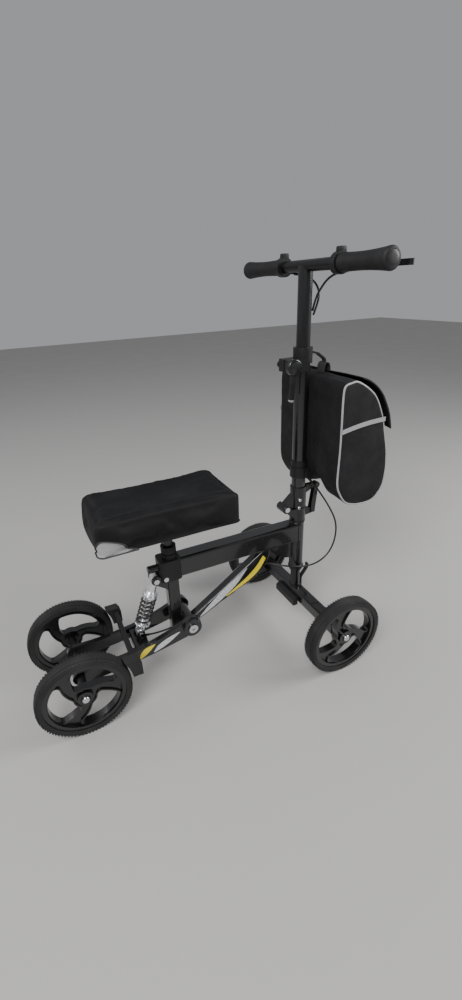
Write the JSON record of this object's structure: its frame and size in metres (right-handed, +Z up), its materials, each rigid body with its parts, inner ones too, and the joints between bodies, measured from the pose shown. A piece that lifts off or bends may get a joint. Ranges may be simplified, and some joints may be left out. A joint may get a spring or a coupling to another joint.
{
  "type": "knee scooter",
  "caption": "Wheeled knee scooter with a padded height-adjustable rest, folding steering column, handlebar with brake levers, rear shock absorber and a front bag.",
  "frame": {"origin": "on the floor, under the middle of the scooter's length and width", "axes": "+X points forward along the direction of travel, +Y to the rider's left, +Z up"},
  "size_m": [0.867, 0.474, 0.9121],
  "materials": {
    "frame_black": "gloss",
    "brake_steel": "satin",
    "dark_plastic": "satin",
    "knob_black": "gloss",
    "bright_steel": "polished",
    "lever_chrome": "polished",
    "latch_black": "gloss",
    "headset": "satin",
    "inner_steel": "gloss",
    "alloy_bar": "black anodised",
    "shock_silver": "satin",
    "spring_black": "gloss",
    "rim_black": "gloss",
    "tyre_black": "matte",
    "rubber_black": "matte",
    "lever_black": "satin black",
    "hanger_steel": "satin",
    "cable_black": "satin",
    "pad_cover": "matte",
    "bag_nylon": "woven"
  },
  "bodies": {
    "frame": {"main_beam": "frame_black", "head_tube": "frame_black", "seat_tube": "frame_black", "down_tube": "frame_black", "junction_cover": "dark_plastic", "headset_cups": "headset", "seat_collar": "dark_plastic", "shock_bracket": "frame_black", "frame_bolts": "bright_steel", "pivot_bolt": "bright_steel", "cable_rear": "cable_black"},
    "seat": {"seat_post": "inner_steel", "seat_plate": "inner_steel", "seat_pad": "pad_cover"},
    "seat_knob": {"seat_height_knob": "knob_black"},
    "swing_arm": {"swing_rails": "frame_black", "shock_mount": "frame_black", "shock_pin": "bright_steel", "rear_axle": "bright_steel"},
    "brake": {"brake_bar": "brake_steel", "brake_shoes": "rubber_black"},
    "shock_upper": {"shock_body": "shock_silver", "shock_spring": "spring_black"},
    "shock_lower": {"shock_rod": "shock_silver"},
    "wheel_rear_left": {"rim_rear_left": "rim_black", "tyre_rear_left": "tyre_black", "bearings_rear_left": "bright_steel"},
    "wheel_rear_right": {"rim_rear_right": "rim_black", "tyre_rear_right": "tyre_black", "bearings_rear_right": "bright_steel"},
    "wheel_front_left": {"rim_front_left": "rim_black", "tyre_front_left": "tyre_black", "bearings_front_left": "bright_steel"},
    "wheel_front_right": {"rim_front_right": "rim_black", "tyre_front_right": "tyre_black", "bearings_front_right": "bright_steel"},
    "steerer": {"steerer_tube": "inner_steel", "front_axle_beam": "frame_black", "front_axles": "bright_steel", "axle_bracket": "frame_black", "cable_guide": "frame_black", "hinge_base": "frame_black", "hinge_pin": "bright_steel", "cable_loop": "cable_black"},
    "column": {"column_tube": "frame_black", "hinge_top": "frame_black", "lower_collar": "dark_plastic", "upper_clamp": "dark_plastic", "bag_hanger": "hanger_steel", "bag": "bag_nylon"},
    "flap": {"bag_flap": "bag_nylon"},
    "latch": {"latch_lever": "latch_black"},
    "dial": {"clamp_lever": "lever_chrome"},
    "stem": {"stem_tube": "inner_steel", "handlebar": "alloy_bar", "grips": "rubber_black", "lever_clamps": "dark_plastic", "cable_upper": "cable_black"},
    "lever_left": {"brake_lever_left": "lever_black"},
    "lever_right": {"brake_lever_right": "lever_black"}
  },
  "joints": [
    {"name": "steering", "type": "hinge", "parent": "frame", "child": "steerer", "pos_m": [0.2535, 0, 0.25], "axis": [0, 0, 1], "range_deg": [-40, 40], "deforming": ["cable_loop"]},
    {"name": "column_fold", "type": "hinge", "parent": "steerer", "child": "column", "pos_m": [0.2125, 0, 0.361], "axis": [0, 1, 0], "range_deg": [-54, 0], "deforming": ["cable_loop"]},
    {"name": "stem_height", "type": "slide", "parent": "column", "child": "stem", "axis": [0, 0, 1], "range_m": [-0.055, 0.06]},
    {"name": "seat_height", "type": "slide", "parent": "frame", "child": "seat", "axis": [0, 0, 1], "range_m": [-0.03, 0.08]},
    {"name": "seat_knob_pull", "type": "slide", "parent": "frame", "child": "seat_knob", "axis": [-1, 0, 0], "range_m": [0, 0.008], "stiffness_N_per_m": 800, "springref_m": -0.003},
    {"name": "swing_arm_pivot", "type": "hinge", "parent": "frame", "child": "swing_arm", "pos_m": [-0.0695, 0, 0.138], "axis": [0, 1, 0], "range_deg": [0, 5], "stiffness_Nm_per_rad": 200, "springref_deg": -8.59, "deforming": ["cable_rear"]},
    {"name": "shock_swivel", "type": "hinge", "parent": "frame", "child": "shock_upper", "pos_m": [-0.1325, 0, 0.268], "axis": [0, 1, 0], "range_deg": [0, 1.6]},
    {"name": "shock_stroke", "type": "slide", "parent": "shock_upper", "child": "shock_lower", "axis": [0.3511, 0, 0.9363], "range_m": [0, 0.0095], "deforming": ["shock_spring"]},
    {"name": "brake_bar_swing", "type": "hinge", "parent": "swing_arm", "child": "brake", "pos_m": [-0.2145, 0, 0.106], "axis": [0, -1, 0], "range_deg": [0, 4]},
    {"name": "wheel_rear_left_spin", "type": "hinge", "parent": "swing_arm", "child": "wheel_rear_left", "pos_m": [-0.3335, 0.095, 0.1], "axis": [0, 1, 0], "continuous": true},
    {"name": "wheel_rear_right_spin", "type": "hinge", "parent": "swing_arm", "child": "wheel_rear_right", "pos_m": [-0.3335, -0.095, 0.1], "axis": [0, 1, 0], "continuous": true},
    {"name": "wheel_front_left_spin", "type": "hinge", "parent": "steerer", "child": "wheel_front_left", "pos_m": [0.2535, 0.205, 0.1], "axis": [0, 1, 0], "continuous": true},
    {"name": "wheel_front_right_spin", "type": "hinge", "parent": "steerer", "child": "wheel_front_right", "pos_m": [0.2535, -0.205, 0.1], "axis": [0, 1, 0], "continuous": true},
    {"name": "latch_swing", "type": "hinge", "parent": "steerer", "child": "latch", "pos_m": [0.2925, 0, 0.335], "axis": [0, 1, 0], "range_deg": [0, 90]},
    {"name": "clamp_lever_swing", "type": "hinge", "parent": "column", "child": "dial", "pos_m": [0.2135, -0.022, 0.703], "axis": [0, 1, 0], "range_deg": [0, 100]},
    {"name": "flap_lift", "type": "hinge", "parent": "column", "child": "flap", "pos_m": [0.3265, 0, 0.684], "axis": [0, -1, 0], "range_deg": [0, 100]},
    {"name": "brake_lever_right_pull", "type": "hinge", "parent": "stem", "child": "lever_right", "pos_m": [0.2815, -0.106, 0.888], "axis": [0, 0, -1], "range_deg": [0, 14], "stiffness_Nm_per_rad": 2, "springref_deg": -2.86},
    {"name": "brake_lever_left_pull", "type": "hinge", "parent": "stem", "child": "lever_left", "pos_m": [0.2815, 0.083, 0.888], "axis": [0, 0, 1], "range_deg": [0, 14], "stiffness_Nm_per_rad": 2, "springref_deg": -2.86}
  ],
  "couplings": [
    {"joint": "shock_swivel", "follows": "swing_arm_pivot", "ratio": 0.3017},
    {"joint": "shock_stroke", "follows": "swing_arm_pivot", "m_per_rad": 0.106},
    {"joint": "brake_bar_swing", "follows": "brake_lever_right_pull", "ratio": 0.27}
  ]
}
